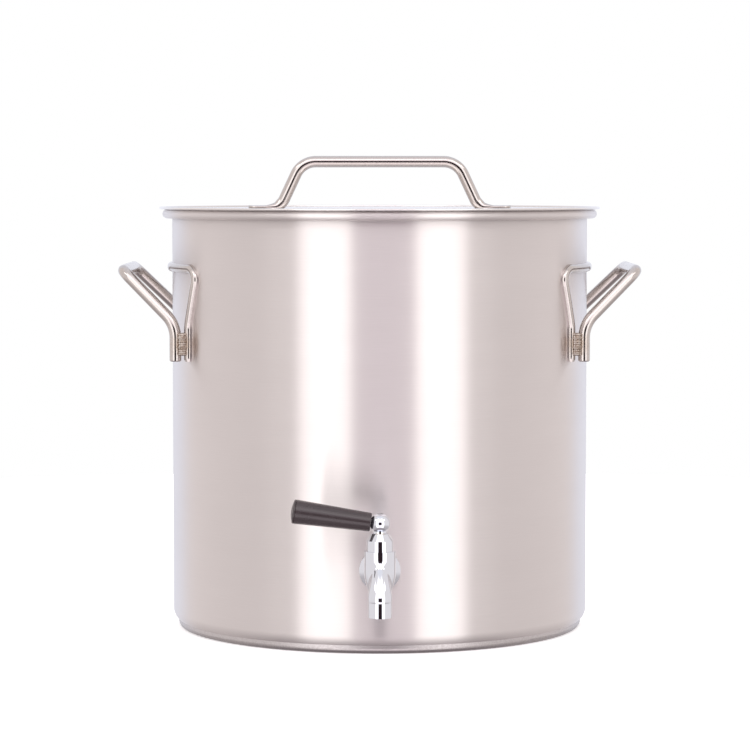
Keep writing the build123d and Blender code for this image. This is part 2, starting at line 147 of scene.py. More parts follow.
class Nodes:
    """Short hand for adding and joining nodes in one tree."""

    def __init__(self, tree):
        self.tree = tree

    def add(self, kind, **values):
        node = self.tree.nodes.new(kind)
        for key, value in values.items():
            setattr(node, key, value)
        return node

    def join(self, source, target):
        self.tree.links.new(source, target)

    def put(self, target, value):
        """Join a socket, or set a plain value."""
        if isinstance(value, bpy.types.NodeSocket):
            self.join(value, target)
        else:
            target.default_value = value

    def math(self, operation, *terms):
        node = self.add("ShaderNodeMath", operation=operation)
        for target, value in zip(node.inputs, terms):
            self.put(target, value)
        return node.outputs[0]

    def ramp(self, value, low, high, out_low=0.0, out_high=1.0):
        """Smooth step from one output to the other."""
        node = self.add("ShaderNodeMapRange", interpolation_type="SMOOTHSTEP")
        for name, term in (("Value", value), ("From Min", low), ("From Max", high),
                           ("To Min", out_low), ("To Max", out_high)):
            self.put(node.inputs[name], term)
        return node.outputs["Result"]

    def blend(self, factor, low, high):
        """Mix of two colours."""
        node = self.add("ShaderNodeMix", data_type="RGBA", blend_type="MIX")
        for name, term in ((0, factor), (6, low), (7, high)):
            self.put(node.inputs[name], term)
        return node.outputs[2]

    def noise(self, vector, scale, detail=2.0, roughness=0.5):
        node = self.add("ShaderNodeTexNoise")
        self.put(node.inputs["Vector"], vector)
        self.put(node.inputs["Scale"], scale)
        node.inputs["Detail"].default_value = detail
        node.inputs["Roughness"].default_value = roughness
        return node.outputs["Fac"]

    def stretched(self, vector, scale):
        node = self.add("ShaderNodeVectorMath", operation="MULTIPLY")
        self.put(node.inputs[0], vector)
        self.put(node.inputs[1], scale)
        return node.outputs[0]

    def parts_of(self, vector):
        node = self.add("ShaderNodeSeparateXYZ")
        self.put(node.inputs[0], vector)
        return node.outputs

    def vector(self, x, y, z):
        node = self.add("ShaderNodeCombineXYZ")
        for target, value in zip(node.inputs, (x, y, z)):
            self.put(target, value)
        return node.outputs[0]

    def group(self, name, **values):
        node = self.add("ShaderNodeGroup", node_tree=bpy.data.node_groups[name])
        for key, value in values.items():
            self.put(node.inputs[key.replace("_", " ")], value)
        return node.outputs


def shader_group(name, inputs, outputs):
    """New shader node group; returns its helper, its inputs and its outputs."""
    tree = bpy.data.node_groups.new(name, "ShaderNodeTree")
    for label, kind, value in inputs:
        socket = tree.interface.new_socket(label, in_out="INPUT", socket_type=kind)
        if value is not None:
            socket.default_value = value
    for label, kind in outputs:
        tree.interface.new_socket(label, in_out="OUTPUT", socket_type=kind)
    nodes = Nodes(tree)
    return nodes, nodes.add("NodeGroupInput").outputs, nodes.add("NodeGroupOutput").inputs


FLOAT, VECTOR = "NodeSocketFloat", "NodeSocketVector"


def make_turned_grain():
    """Fine lines that run round the Z axis, as belt brushing leaves on a turned pot."""
    nodes, given, out = shader_group(
        "turned_grain",
        [("Place", VECTOR, None), ("Lines", FLOAT, 2500.0), ("Length", FLOAT, 6.0)],
        [("Lines", FLOAT), ("Patches", FLOAT)])
    x, y, z = nodes.parts_of(given["Place"])
    angle = nodes.math("ARCTAN2", y, x)
    square = nodes.math("ADD", nodes.math("POWER", x, 2.0), nodes.math("POWER", y, 2.0))
    radius = nodes.math("POWER", square, 0.5)
    along = nodes.math("MULTIPLY", angle, given["Length"])
    across = nodes.math("MULTIPLY", nodes.math("ADD", z, radius), given["Lines"])
    lines = nodes.noise(nodes.vector(along, across, 0.0), 1.0, detail=3.0, roughness=0.6)
    wide = nodes.vector(nodes.math("MULTIPLY", along, 0.35),
                        nodes.math("MULTIPLY", across, 0.02), 3.0)
    nodes.join(lines, out["Lines"])
    nodes.join(nodes.noise(wide, 1.0, detail=2.0), out["Patches"])


def make_handling():
    """Faint smears and dust from handling."""
    nodes, given, out = shader_group(
        "handling", [("Place", VECTOR, None), ("Size", FLOAT, 12.0)],
        [("Smears", FLOAT), ("Specks", FLOAT)])
    smear = nodes.noise(given["Place"], given["Size"], detail=4.0, roughness=0.55)
    nodes.join(nodes.ramp(smear, 0.42, 0.72), out["Smears"])
    speck = nodes.noise(given["Place"], nodes.math("MULTIPLY", given["Size"], 90.0), detail=1.0)
    nodes.join(nodes.ramp(speck, 0.70, 0.82), out["Specks"])


def make_edge_wear_and_corner_shade():
    """Bright rub marks on outer edges, and a mask of concave corners that carries painted shade on
    bars and plating and oxide on the weld.
    """
    nodes, given, out = shader_group(
        "edge_wear", [("Place", VECTOR, None), ("Width", FLOAT, 0.04)],
        [("Edge", FLOAT), ("Corner", FLOAT)])
    point = nodes.add("ShaderNodeNewGeometry").outputs["Pointiness"]
    ragged = nodes.math("MULTIPLY", nodes.noise(given["Place"], 900.0, detail=3.0), 0.02)
    value = nodes.math("ADD", point, nodes.math("SUBTRACT", ragged, 0.01))
    high = nodes.math("ADD", given["Width"], 0.5)
    low = nodes.math("SUBTRACT", 0.5, given["Width"])
    nodes.join(nodes.ramp(value, 0.51, high), out["Edge"])
    # Corner mask, darker into concave places: painted shade on bars and plating, real oxide on the
    # weld.
    nodes.join(nodes.ramp(value, low, 0.49, 1.0, 0.0), out["Corner"])


def make_heat_tint():
    """Brown and straw bloom that a weld leaves round itself, the same on all four legs."""
    nodes, given, out = shader_group(
        "heat_tint",
        [("Place", VECTOR, None), ("Centre", VECTOR, None), ("Reach", FLOAT, 0.02)],
        [("Tint", FLOAT)])
    fold = nodes.add("ShaderNodeVectorMath", operation="ABSOLUTE")
    nodes.join(given["Place"], fold.inputs[0])
    away = nodes.add("ShaderNodeVectorMath", operation="DISTANCE")
    nodes.join(fold.outputs[0], away.inputs[0])
    nodes.join(given["Centre"], away.inputs[1])
    ragged = nodes.math("MULTIPLY", nodes.noise(given["Place"], 260.0, detail=3.0), 0.008)
    distance = nodes.math("ADD", away.outputs["Value"], ragged)
    near = nodes.math("MULTIPLY", given["Reach"], 0.35)
    nodes.join(nodes.ramp(distance, near, given["Reach"], 1.0, 0.0), out["Tint"])


# Materials -------------------------------------------------------------------

def new_material(name):
    material = bpy.data.materials.new(name)
    material.use_nodes = True
    tree = material.node_tree
    tree.nodes.clear()
    nodes = Nodes(tree)
    shader = nodes.add("ShaderNodeBsdfPrincipled")
    nodes.join(shader.outputs[0], nodes.add("ShaderNodeOutputMaterial").inputs[0])
    place = nodes.add("ShaderNodeTexCoord").outputs["Object"]
    return material, nodes, shader, place


def bump(nodes, shader, height, strength, distance):
    node = nodes.add("ShaderNodeBump")
    node.inputs["Strength"].default_value = strength
    node.inputs["Distance"].default_value = distance
    nodes.join(height, node.inputs["Height"])
    nodes.join(node.outputs[0], shader.inputs["Normal"])


def turned_steel(name, light, dark, rough, spread):
    """Stainless sheet brushed round its axis: sharp sideways, smeared up and down."""
    material, nodes, shader, place = new_material(name)
    smear = 0.012
    rough_range = 0.02
    grain = nodes.group("turned_grain", Place=place, Lines=2500.0)
    marks = nodes.group("handling", Place=place, Size=9.0)
    tone = nodes.math("ADD", nodes.math("MULTIPLY", grain["Lines"], 0.7),
                      nodes.math("MULTIPLY", grain["Patches"], 0.3))
    nodes.join(nodes.blend(nodes.ramp(tone, 0.3, 0.7), (*dark, 1), (*light, 1)),
               shader.inputs["Base Color"])
    grainy = nodes.ramp(grain["Lines"], 0.3, 0.7, rough - rough_range, rough + rough_range)
    nodes.join(nodes.math("ADD", grainy, nodes.math("MULTIPLY", marks["Smears"], smear)),
               shader.inputs["Roughness"])
    shader.inputs["Metallic"].default_value = 1.0
    shader.inputs["Anisotropic"].default_value = spread
    shader.inputs["Anisotropic Rotation"].default_value = 0.25
    bump(nodes, shader, grain["Lines"], 0.012, 0.00005)
    return material


def polished_bar(name):
    """Drawn stainless bar, polished by hand, with faint draw lines and weld bloom."""
    material, nodes, shader, place = new_material(name)
    marks = nodes.group("handling", Place=place, Size=40.0)
    wear_and_shade = nodes.group("edge_wear", Place=place, Width=0.05)
    tint = nodes.group("heat_tint", Place=place, Reach=0.017,
                       Centre=(WELD_CENTRE[0], WELD_CENTRE[1], sum(WELD_Z) / 2))
    draw = nodes.noise(nodes.stretched(place, (900.0, 40.0, 900.0)), 1.0, detail=2.0)
    dark, light = (0.54, 0.50, 0.48, 1), (0.60, 0.56, 0.535, 1)
    painted_shade_brown, straw = (0.30, 0.25, 0.22, 1), (0.42, 0.31, 0.22, 1)
    base = nodes.blend(nodes.ramp(draw, 0.3, 0.7), dark, light)
    # Painted shade: the bar's concave corners are darkened towards brown.
    corner_shaded_base = nodes.blend(nodes.math("MULTIPLY", wear_and_shade["Corner"], 0.4), base, painted_shade_brown)
    bloom = nodes.blend(nodes.math("MULTIPLY", tint["Tint"], 0.65), corner_shaded_base, straw)
    nodes.join(bloom, shader.inputs["Base Color"])
    gloss = nodes.math("ADD", 0.12, nodes.math("MULTIPLY", marks["Smears"], 0.05))
    nodes.join(nodes.math("ADD", gloss, nodes.math("MULTIPLY", tint["Tint"], 0.15)),
               shader.inputs["Roughness"])
    shader.inputs["Metallic"].default_value = 1.0
    bump(nodes, shader, draw, 0.02, 0.00004)
    return material


def weld_metal(name):
    """Rippled bead: bright crests, brown oxide in the hollows."""
    material, nodes, shader, place = new_material(name)
    wear_and_shade = nodes.group("edge_wear", Place=place, Width=0.08)
    blotch = nodes.noise(place, 420.0, detail=3.0)
    brown, grey = (0.30, 0.23, 0.18, 1), (0.54, 0.48, 0.43, 1)
    bright, oxide = (0.80, 0.76, 0.72, 1), (0.10, 0.075, 0.07, 1)
    base = nodes.blend(nodes.ramp(blotch, 0.35, 0.65), brown, grey)
    crest = nodes.blend(wear_and_shade["Edge"], base, bright)
    nodes.join(nodes.blend(wear_and_shade["Corner"], crest, oxide), shader.inputs["Base Color"])
    nodes.join(nodes.ramp(blotch, 0.3, 0.7, 0.22, 0.46), shader.inputs["Roughness"])
    shader.inputs["Metallic"].default_value = 1.0
    bump(nodes, shader, nodes.noise(place, 2200.0, detail=2.0), 0.25, 0.0002)
    return material


def plated(name, tone, rough):
    """Bright plating over a polished casting, with a slight orange peel."""
    material, nodes, shader, place = new_material(name)
    marks = nodes.group("handling", Place=place, Size=70.0)
    wear_and_shade = nodes.group("edge_wear", Place=place, Width=0.06)
    painted_shade_tone = tuple(0.82 * c for c in tone)
    # Painted shade: concave corners of the plating are darkened to 0.82 of its tone.
    base = nodes.blend(nodes.math("MULTIPLY", wear_and_shade["Corner"], 0.5), (*tone, 1), (*painted_shade_tone, 1))
    nodes.join(base, shader.inputs["Base Color"])
    nodes.join(nodes.math("ADD", rough, nodes.math("MULTIPLY", marks["Smears"], 0.04)),
               shader.inputs["Roughness"])
    shader.inputs["Metallic"].default_value = 1.0
    bump(nodes, shader, nodes.noise(place, 130.0, detail=1.0), 0.05, 0.0004)
    return material


def plain_metal(name, light, dark, rough):
    """Unpolished metal with crossed scratches and worn edges."""
    material, nodes, shader, place = new_material(name)
    wear_and_shade = nodes.group("edge_wear", Place=place, Width=0.05)
    along = nodes.noise(nodes.stretched(place, (60.0, 1500.0, 900.0)), 1.0, detail=2.0)
    cross = nodes.noise(nodes.stretched(place, (1300.0, 80.0, 900.0)), 1.0, detail=2.0)
    lines = nodes.math("MAXIMUM", along, cross)
    base = nodes.blend(nodes.ramp(lines, 0.4, 0.75), (*dark, 1), (*light, 1))
    rubbed = tuple(min(1.0, 1.15 * c) for c in light)
    worn = nodes.blend(nodes.math("MULTIPLY", wear_and_shade["Edge"], 0.5), base, (*rubbed, 1))
    nodes.join(worn, shader.inputs["Base Color"])
    gloss = nodes.ramp(lines, 0.35, 0.75, rough + 0.08, rough - 0.05)
    nodes.join(gloss, shader.inputs["Roughness"])
    shader.inputs["Metallic"].default_value = 1.0
    bump(nodes, shader, lines, 0.08, 0.00008)
    return material


def moulded_grip(name):
    """Dark brown-black phenolic moulding, satin, with faint lengthwise polishing lines."""
    material, nodes, shader, place = new_material(name)
    turn = nodes.add("ShaderNodeMapping")
    turn.inputs["Rotation"].default_value = (0, -math.radians(LEVER_RISE), 0)
    nodes.join(place, turn.inputs["Vector"])
    lines = nodes.noise(nodes.stretched(turn.outputs[0], (25.0, 1400.0, 1400.0)), 1.0, detail=3.0)
    marks = nodes.group("handling", Place=place, Size=60.0)
    dark, light, dust = (0.034, 0.024, 0.027, 1), (0.043, 0.031, 0.034, 1), (0.20, 0.18, 0.17, 1)
    base = nodes.blend(nodes.ramp(lines, 0.3, 0.7), dark, light)
    dusty = nodes.blend(nodes.math("MULTIPLY", marks["Specks"], 0.25), base, dust)
    nodes.join(dusty, shader.inputs["Base Color"])
    gloss = nodes.ramp(lines, 0.3, 0.7, 0.25, 0.22)
    nodes.join(nodes.math("ADD", gloss, nodes.math("MULTIPLY", marks["Smears"], 0.08)),
               shader.inputs["Roughness"])
    shader.inputs["IOR"].default_value = 1.58
    bump(nodes, shader, lines, 0.015, 0.00005)
    return material


def moulded_rubber(name):
    """Black rubber with a fine dull grain."""
    material, nodes, shader, place = new_material(name)
    grain = nodes.noise(place, 1500.0, detail=2.0)
    nodes.join(nodes.blend(grain, (0.018, 0.018, 0.018, 1), (0.045, 0.044, 0.043, 1)),
               shader.inputs["Base Color"])
    nodes.join(nodes.ramp(grain, 0.3, 0.7, 0.55, 0.72), shader.inputs["Roughness"])
    bump(nodes, shader, grain, 0.15, 0.00015)
    return material


def make_materials():
    for make in (make_turned_grain, make_handling, make_edge_wear_and_corner_shade, make_heat_tint):
        make()
    return {
        "pot_steel": turned_steel("pot_steel", (0.81, 0.765, 0.755), (0.78, 0.735, 0.725), 0.37, 1.0),
        "lid_steel": turned_steel("lid_steel", (0.83, 0.80, 0.79), (0.77, 0.75, 0.74), 0.18, 0.7),
        "base_steel": plain_metal("base_steel", (0.56, 0.53, 0.53), (0.45, 0.42, 0.42), 0.34),
        "base_aluminium": plain_metal("base_aluminium", (0.80, 0.80, 0.81), (0.7, 0.7, 0.71), 0.35),
        "rod_steel": polished_bar("rod_steel"),
        "weld_steel": weld_metal("weld_steel"),
        "tap_chrome": plated("tap_chrome", (0.73, 0.755, 0.81), 0.03),
        "plug_brass": plain_metal("plug_brass", (0.80, 0.62, 0.32), (0.66, 0.49, 0.24), 0.25),
        "spring_steel": plain_metal("spring_steel", (0.66, 0.66, 0.67), (0.5, 0.5, 0.51), 0.28),
        "screw_steel": plain_metal("screw_steel", (0.10, 0.095, 0.09), (0.05, 0.048, 0.045), 0.35),
        "seal_rubber": moulded_rubber("seal_rubber"),
        "grip_plastic": moulded_grip("grip_plastic"),
    }


# Outlines and paths ----------------------------------------------------------

ARC_STEP = math.radians(7.5)


def bent_sheet(start, heading, steps, thickness):
    """Closed outline of a bent sheet as (radius, height) points, from its centre line.

    Each step is (length, 0) for a straight run or (radius, turn) for a bend, with the
    turn in degrees and positive to the left.
    """
    x, y = start
    half = thickness / 2
    left, right = [], []

    def mark():
        a = math.radians(heading + 90)
        left.append((x + half * math.cos(a), y + half * math.sin(a)))
        right.append((x - half * math.cos(a), y - half * math.sin(a)))

    mark()
    for size, turn in steps:
        if turn == 0:
            x += size * math.cos(math.radians(heading))
            y += size * math.sin(math.radians(heading))
            mark()
            continue
        count = max(2, math.ceil(abs(math.radians(turn)) / ARC_STEP))
        chord = 2 * size * math.sin(math.radians(abs(turn)) / count / 2)
        for _ in range(count):
            heading += turn / count / 2
            x += chord * math.cos(math.radians(heading))
            y += chord * math.sin(math.radians(heading))
            heading += turn / count / 2
            mark()
    return right + left[::-1]


def arc_points(centre, radius, first, last):
    """Points on an arc between two angles in degrees."""
    count = max(2, math.ceil(abs(math.radians(last - first)) / ARC_STEP))
    for i in range(count + 1):
        a = math.radians(first + (last - first) * i / count)
        yield (centre[0] + radius * math.cos(a), centre[1] + radius * math.sin(a))


def rounded_path(points, radii, step=1.2 * MM):
    """Polyline with an arc at each inner corner, sampled along its length."""
    points = [Vector(p) for p in points]
    path = [points[0]]
    for before, corner, after, radius in zip(points, points[1:], points[2:], radii):
        back = (before - corner).normalized()
        ahead = (after - corner).normalized()
        half = back.angle(ahead) / 2
        reach = radius / math.tan(half)
        centre = corner + (back + ahead).normalized() * radius / math.sin(half)
        start = corner + back * reach - centre
        end = corner + ahead * reach - centre
        sweep = start.angle(end)
        count = max(4, math.ceil(sweep * radius / step))
        for i in range(count + 1):
            t = i / count
            point = (start * math.sin((1 - t) * sweep) + end * math.sin(t * sweep)) / math.sin(sweep)
            path.append(centre + point)
    path.append(points[-1])
    return path


# Geometry node trees ---------------------------------------------------------

def geometry_tree(name, inputs):
    tree = bpy.data.node_groups.new(name, "GeometryNodeTree")
    tree.interface.new_socket("Geometry", in_out="INPUT", socket_type="NodeSocketGeometry")
    for label, kind in inputs:
        tree.interface.new_socket(label, in_out="INPUT", socket_type=kind)
    tree.interface.new_socket("Geometry", in_out="OUTPUT", socket_type="NodeSocketGeometry")
    nodes = Nodes(tree)
    return nodes, nodes.add("NodeGroupInput").outputs, nodes.add("NodeGroupOutput").inputs


def finish_tree(nodes, given, out, mesh):
    """The end of every tree: real geometry, smooth, with its finish."""
    real = nodes.add("GeometryNodeRealizeInstances")
    nodes.join(mesh, real.inputs[0])
    smooth = nodes.add("GeometryNodeSetShadeSmooth")
    nodes.join(real.outputs[0], smooth.inputs["Geometry"])
    finish = nodes.add("GeometryNodeSetMaterial")
    nodes.join(smooth.outputs[0], finish.inputs["Geometry"])
    nodes.join(given["Finish"], finish.inputs["Material"])
    nodes.join(finish.outputs[0], out["Geometry"])


def make_lathe_tree():
    """Turns a closed outline about the Z axis."""
    nodes, given, out = geometry_tree("turn_on_lathe", [
        ("Spindle Radius", "NodeSocketFloat"), ("Steps Around", "NodeSocketInt"),
        ("Finish", "NodeSocketMaterial")])
    circle = nodes.add("GeometryNodeCurvePrimitiveCircle")
    nodes.join(given["Spindle Radius"], circle.inputs["Radius"])
    nodes.join(given["Steps Around"], circle.inputs["Resolution"])
    turn = nodes.add("GeometryNodeCurveToMesh")
    nodes.join(circle.outputs[0], turn.inputs["Curve"])
    nodes.join(given["Geometry"], turn.inputs["Profile Curve"])
    weld = nodes.add("GeometryNodeMergeByDistance")
    weld.inputs["Distance"].default_value = 1e-6
    nodes.join(turn.outputs[0], weld.inputs["Geometry"])
    finish_tree(nodes, given, out, weld.outputs[0])


def make_bar_tree():
    """Draws a round bar along a path; the path's point radius shapes its ends."""
    nodes, given, out = geometry_tree("draw_bar", [
        ("Bar Radius", "NodeSocketFloat"), ("Sides", "NodeSocketInt"),
        ("Finish", "NodeSocketMaterial")])
    circle = nodes.add("GeometryNodeCurvePrimitiveCircle")
    nodes.join(given["Bar Radius"], circle.inputs["Radius"])
    nodes.join(given["Sides"], circle.inputs["Resolution"])
    girth = nodes.add("GeometryNodeInputRadius")
    bar = nodes.add("GeometryNodeCurveToMesh")
    nodes.join(given["Geometry"], bar.inputs["Curve"])
    nodes.join(circle.outputs[0], bar.inputs["Profile Curve"])
    nodes.join(girth.outputs[0], bar.inputs["Scale"])
    bar.inputs["Fill Caps"].default_value = True
    finish_tree(nodes, given, out, bar.outputs[0])


def make_weld_tree():
    """Lays overlapping ripples along a path, as a hand weld does."""
    nodes, given, out = geometry_tree("lay_weld", [
        ("Ripple Spacing", "NodeSocketFloat"), ("Bead Radius", "NodeSocketFloat"),
        ("Unevenness", "NodeSocketFloat"), ("Voxel", "NodeSocketFloat"),
        ("Finish", "NodeSocketMaterial")])
    steps = nodes.add("GeometryNodeCurveToPoints", mode="LENGTH")
    nodes.join(given["Geometry"], steps.inputs["Curve"])
    nodes.join(given["Ripple Spacing"], steps.inputs["Length"])
    ripple = nodes.add("GeometryNodeMeshUVSphere")
    ripple.inputs["Segments"].default_value = 20
    ripple.inputs["Rings"].default_value = 10
    nodes.join(given["Bead Radius"], ripple.inputs["Radius"])
    wobble = nodes.add("FunctionNodeRandomValue", data_type="FLOAT")
    wobble.inputs["Seed"].default_value = 7
    nodes.join(nodes.math("SUBTRACT", 1.0, given["Unevenness"]), wobble.inputs[2])
    nodes.join(nodes.math("ADD", 1.0, given["Unevenness"]), wobble.inputs[3])
    lay = nodes.add("GeometryNodeInstanceOnPoints")
    nodes.join(steps.outputs["Points"], lay.inputs["Points"])
    nodes.join(ripple.outputs["Mesh"], lay.inputs["Instance"])
    flattened = (1.0, 1.0, 0.38)
    size = nodes.add("ShaderNodeVectorMath", operation="MULTIPLY")
    size.inputs[0].default_value = flattened
    nodes.join(wobble.outputs[1], size.inputs[1])
    nodes.join(size.outputs[0], lay.inputs["Scale"])
    real = nodes.add("GeometryNodeRealizeInstances")
    nodes.join(lay.outputs[0], real.inputs[0])
    volume = nodes.add("GeometryNodeMeshToVolume", resolution_mode="VOXEL_SIZE")
    nodes.join(real.outputs[0], volume.inputs["Mesh"])
    nodes.join(given["Voxel"], volume.inputs["Voxel Size"])
    nodes.join(given["Voxel"], volume.inputs["Interior Band Width"])
    skin = nodes.add("GeometryNodeVolumeToMesh", resolution_mode="VOXEL_SIZE")
    nodes.join(volume.outputs[0], skin.inputs["Volume"])
    nodes.join(given["Voxel"], skin.inputs["Voxel Size"])
    finish_tree(nodes, given, out, skin.outputs[0])


def outline_object(name, points, closed, radii=None):
    curve = bpy.data.curves.new(name, "CURVE")
    curve.dimensions = "3D"
    spline = curve.splines.new("POLY")
    spline.points.add(len(points) - 1)
    for i, place in enumerate(points):
        spline.points[i].co = (*place, 1)
        spline.points[i].radius = radii[i] if radii else 1.0
    spline.use_cyclic_u = closed
    obj = bpy.data.objects.new(name, curve)
    bpy.context.collection.objects.link(obj)
    return obj


def run_tree(obj, tree_name, **values):
    """The mesh that a geometry tree makes from a curve object, which is removed."""
    tree = bpy.data.node_groups[tree_name]
    modifier = obj.modifiers.new("maker", "NODES")
    modifier.node_group = tree
    for item in tree.interface.items_tree:
        key = item.name.replace(" ", "_")
        if item.in_out == "INPUT" and key in values:
            modifier[item.identifier] = values[key]
    bpy.context.view_layer.update()
    depsgraph = bpy.context.evaluated_depsgraph_get()
    mesh = bpy.data.meshes.new_from_object(obj.evaluated_get(depsgraph))
    obj.modifiers.clear()
    bpy.data.objects.remove(obj, do_unlink=True)
    return mesh


# Finished pieces -------------------------------------------------------------

materials = make_materials()
make_lathe_tree()
make_bar_tree()
make_weld_tree()

BODY_OF = {node: body for body, nodes in frame["record"]["behaviour"]["bodies"].items()
           for node in nodes}
SLOT_OF = {part["node"]: part["material_slot"] for part in frame["record"]["subparts"]}
rebuilt = set()


def add_piece(name, mesh, node, sharp=35.0):
    """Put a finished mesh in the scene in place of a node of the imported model."""
    work = bmesh.new()
    work.from_mesh(mesh)
    bmesh.ops.remove_doubles(work, verts=work.verts, dist=1e-6)
    bmesh.ops.recalc_face_normals(work, faces=work.faces)
    work.to_mesh(mesh)
    work.free()
    mesh.shade_smooth()
    mesh.set_sharp_from_angle(angle=math.radians(sharp))
    mesh.materials.clear()
    mesh.materials.append(materials[SLOT_OF[node]])
    piece = bpy.data.objects.new(name, mesh)
    mesh.name = name
    bpy.context.collection.objects.link(piece)
    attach(piece, BODY_OF[node])
    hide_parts(node)
    rebuilt.add(node)


def turned_mesh(name, outline, around):
    """Mesh of a closed (radius, height) outline turned about Z."""
    spindle = 1 * MM
    points = [(r - spindle, -z, 0) for r, z in outline]
    return run_tree(outline_object(name, points, True), "turn_on_lathe",
                    Spindle_Radius=spindle, Steps_Around=around)


def bar_mesh(name, path, radius):
    """Mesh of a round bar along a path, with softly ground ends."""
    chamfer = 0.9 * MM
    end_girth = 0.82
    first = path[0] + (path[1] - path[0]).normalized() * chamfer
    last = path[-1] + (path[-2] - path[-1]).normalized() * chamfer
    points = [path[0], first, *path[1:-1], last, path[-1]]
    girths = [end_girth, *[1.0] * len(path), end_girth]
    return run_tree(outline_object(name, points, False, girths), "draw_bar",
                    Bar_Radius=radius, Sides=40)


def mirrored(mesh):
    """Copy of a mesh on the other side, at -X."""
    copy = mesh.copy()
    copy.transform(Matrix.Diagonal((-1.0, 1.0, 1.0, 1.0)))
    copy.flip_normals()
    return copy


def cut_hole(mesh, radius, z):
    """Open a round hole through the front wall of a turned mesh."""
    work = bmesh.new()
    place = Matrix.Translation((0, -POT_R, z)) @ Matrix.Rotation(math.radians(90), 4, "X")
    bmesh.ops.create_cone(work, cap_ends=True, segments=64, radius1=radius, radius2=radius,
                          depth=20 * MM, matrix=place)
    cutter_mesh = bpy.data.meshes.new("hole")
    work.to_mesh(cutter_mesh)
    work.free()
    cutter = bpy.data.objects.new("hole", cutter_mesh)
    target = bpy.data.objects.new("target", mesh)
    for obj in (cutter, target):
        bpy.context.collection.objects.link(obj)
    cut = target.modifiers.new("cut", "BOOLEAN")
    cut.operation = "DIFFERENCE"
    cut.solver = "EXACT"
    cut.object = cutter
    bpy.context.view_layer.update()
    depsgraph = bpy.context.evaluated_depsgraph_get()
    result = bpy.data.meshes.new_from_object(target.evaluated_get(depsgraph))
    for obj in (cutter, target):
        bpy.data.objects.remove(obj, do_unlink=True)
    return result


def make_pot():
    """Turned shell: floor, rounded bottom edge, wall and rolled rim."""
    half = SHEET / 2
    rim_start = RIM_TOP - half - RIM_ROLL_R
    wall = rim_start - FLOOR_Z - KNUCKLE_R
    outline = bent_sheet(
        (0, FLOOR_Z + half), 0,
        [(POT_R - KNUCKLE_R, 0), (KNUCKLE_R - half, 90)]
        + [(wall / WALL_ROWS, 0)] * WALL_ROWS
        + [(RIM_ROLL_R, -90), (RIM_FLAT, 0), (RIM_ROLL_R, -180), (RIM_RETURN, 0)],
        SHEET)
    mesh = cut_hole(turned_mesh("pot", outline, POT_STEPS_AROUND), WALL_HOLE_R, FLOW_Z)
    add_piece("pot_shell", mesh, "pot_body")


def make_lid():
    """Pressed sheet with a locating groove and a hemmed, lifted edge."""
    half = LID_SHEET / 2
    slope = math.radians(GROOVE_SLOPE)
    lift = math.radians(EDGE_LIFT)
    groove_w = 4 * GROOVE_BEND_R * math.sin(slope) + 2 * GROOVE_SIDE * math.cos(slope)
    lift_w = EDGE_BEND_R * math.sin(lift) + EDGE_RISE * math.cos(lift)
    flange = LID_EDGE_R - lift_w - GROOVE_START_R - groove_w
    outline = bent_sheet(
        (0, RIM_TOP + half), 0,
        [(GROOVE_START_R, 0), (GROOVE_BEND_R, -GROOVE_SLOPE), (GROOVE_SIDE, 0),
         (GROOVE_BEND_R, 2 * GROOVE_SLOPE), (GROOVE_SIDE, 0), (GROOVE_BEND_R, -GROOVE_SLOPE),
         (flange, 0), (EDGE_BEND_R, EDGE_LIFT), (EDGE_RISE - LID_HEM_COVER, 0)],
        LID_SHEET)
    tip = len(outline) // 2
    hem_z = RIM_TOP + half + EDGE_BEND_R * (1 - math.cos(lift)) + EDGE_RISE * math.sin(lift)
    hem = arc_points((LID_EDGE_R, hem_z), LID_HEM_R,
                     EDGE_LIFT - LID_HEM_HALF_TURN, EDGE_LIFT + LID_HEM_HALF_TURN)
    outline[tip:tip] = hem
    add_piece("lid_sheet", turned_mesh("lid", outline, POT_STEPS_AROUND), "lid_pan")


def loft(rings):
    """Closed mesh through a row of rings with the same number of points."""
    work = bmesh.new()
    rows = [[work.verts.new(p) for p in ring] for ring in rings]
    for low, high in zip(rows, rows[1:]):
        for i in range(len(low)):
            j = (i + 1) % len(low)
            work.faces.new((low[i], low[j], high[j], high[i]))
    work.faces.new(rows[0][::-1])
    work.faces.new(rows[-1])
    mesh = bpy.data.meshes.new("loft")
    work.to_mesh(mesh)
    work.free()
    return mesh


RING_SIDES = 36


def ring_round(centre, across, out, wide, high, power):
    """Oval ring of points; a power under 1 squares its corners."""
    ring = []
    for k in range(RING_SIDES):
        a = 2 * math.pi * k / RING_SIDES
        c = math.copysign(abs(math.cos(a)) ** power, math.cos(a))
        s = math.copysign(abs(math.sin(a)) ** power, math.sin(a))
        ring.append(centre + across * wide * c + out * high * s)
    return ring


def evened(path, step):
    """Path with extra points, so that no step is longer than asked."""
    dense = [path[0]]
    for target in path[1:]:
        start = dense[-1]
        count = max(1, math.ceil((target - start).length / step))
        dense += [start.lerp(target, (i + 1) / count) for i in range(count)]
    return dense


def direction_at(path, i):
    """Direction of a path at one of its points."""
    return (path[min(i + 1, len(path) - 1)] - path[max(i - 1, 0)]).normalized()


def handle_ring(point, ahead):
    """Section of the lid handle: round on the bar, flat on the foot, rounded at the tip."""
    sideways = Vector((0, 1, 0))
    forged = min(1.0, max(0.0, (point.x - FOOT_START) / FOOT_FORGED))
    forged = forged * forged * (3 - 2 * forged)
    tip = max(0.0, (point.x - (FOOT_REACH - FOOT_TIP)) / FOOT_TIP)
    narrowing = max(0.12, math.sqrt(max(0.0, 1 - tip * tip)))
    high = ROD_R + (FOOT_HALF_HEIGHT - ROD_R) * forged
    wide = (ROD_R + (FOOT_HALF_WIDTH - ROD_R) * forged) * narrowing
    ring = ring_round(point, sideways, ahead.cross(sideways), wide, high, 1.0 - 0.35 * forged)
    for place in ring:
        place.z = max(place.z, LID_TOP)
    return ring


